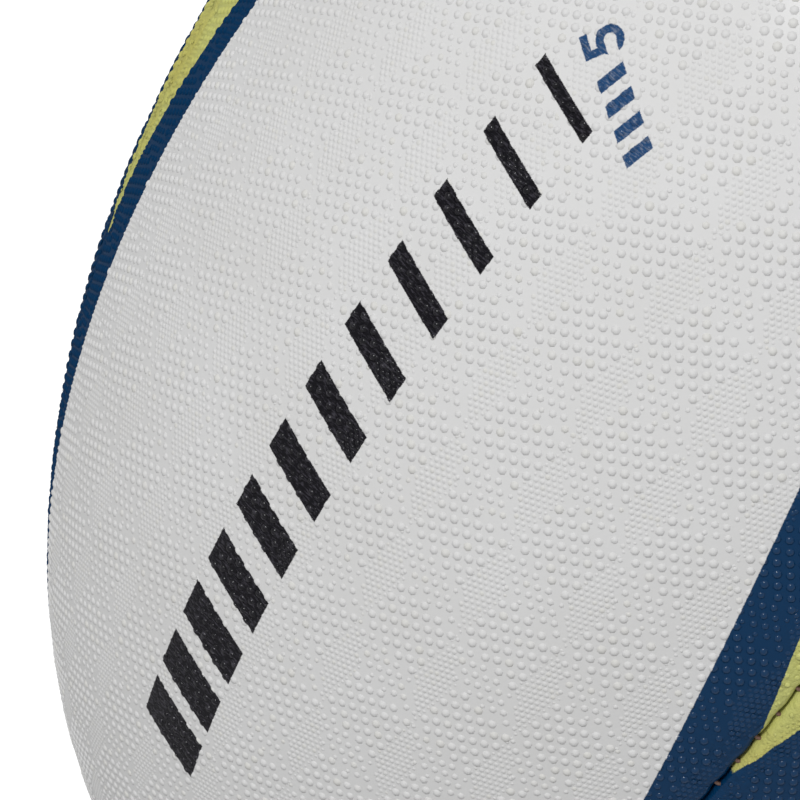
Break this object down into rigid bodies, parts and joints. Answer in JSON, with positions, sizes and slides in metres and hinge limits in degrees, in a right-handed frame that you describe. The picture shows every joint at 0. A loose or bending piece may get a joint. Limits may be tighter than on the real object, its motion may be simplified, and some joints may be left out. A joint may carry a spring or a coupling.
{
  "type": "rugby ball",
  "caption": "Oval ball of gored rubber panels with pimpled grip, sewn seams, cloth plies, an inflated bladder and a valve.",
  "frame": {"origin": "middle of the ball", "axes": "X along the ball's long axis, +Z out of the middle of the printed top panel, +Y out of the middle of the back panel and along the valve"},
  "size_m": [0.29, 0.191, 0.191],
  "materials": {
    "facing_rubber": "off-white pimpled rubber with navy, lime and black print",
    "ply_cloth": "rubberised woven cloth",
    "waxed_thread": "waxed twisted thread",
    "bladder_rubber": "matt thin rubber",
    "boot_rubber": "moulded rubber, satin",
    "plug_rubber": "soft moulded rubber, satin"
  },
  "bodies": {
    "root": {"facing_back": "facing_rubber", "facing_top": "facing_rubber", "facing_front": "facing_rubber", "facing_bottom": "facing_rubber", "outer_ply_back": "ply_cloth", "outer_ply_top": "ply_cloth", "outer_ply_front": "ply_cloth", "outer_ply_bottom": "ply_cloth", "inner_ply_back": "ply_cloth", "inner_ply_top": "ply_cloth", "inner_ply_front": "ply_cloth", "inner_ply_bottom": "ply_cloth", "seam_thread_back_top": "waxed_thread", "seam_thread_top_front": "waxed_thread", "seam_thread_front_bottom": "waxed_thread", "seam_thread_bottom_back": "waxed_thread", "bladder": "bladder_rubber", "valve_boot": "boot_rubber", "valve_plug": "plug_rubber", "valve_patch": "ply_cloth"}
  },
  "joints": []
}
